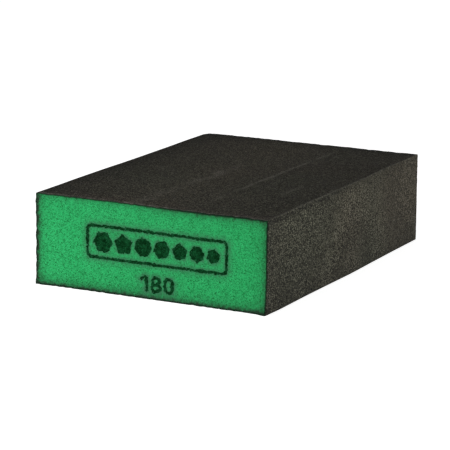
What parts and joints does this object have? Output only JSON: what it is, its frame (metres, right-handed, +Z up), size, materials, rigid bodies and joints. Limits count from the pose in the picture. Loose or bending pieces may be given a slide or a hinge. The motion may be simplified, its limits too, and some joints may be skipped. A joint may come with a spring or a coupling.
{
  "type": "sanding block",
  "caption": "Rectangular hand sanding block of resilient foam with abrasive coats on its long faces and bare ends, for smoothing paint, filler and wood.",
  "frame": {"origin": "centre of the underside, where the block rests", "axes": "+Z up, away from the underside. +Y along the block's length, away from the printed end. +X to the right as the printed end is faced."},
  "size_m": [0.0698, 0.1016, 0.0254],
  "materials": {
    "foam": "matte",
    "bond": "matte",
    "grain": "matte",
    "ink": "matte"
  },
  "bodies": {
    "root": {"foam_core": "foam", "bond_coat_top": "bond", "bond_coat_bottom": "bond", "bond_coat_left": "bond", "bond_coat_right": "bond", "grain_coat_top": "grain", "grain_coat_bottom": "grain", "grain_coat_left": "grain", "grain_coat_right": "grain", "print_border": "ink", "print_grain_marks": "ink", "print_grit_number": "ink"}
  },
  "joints": []
}
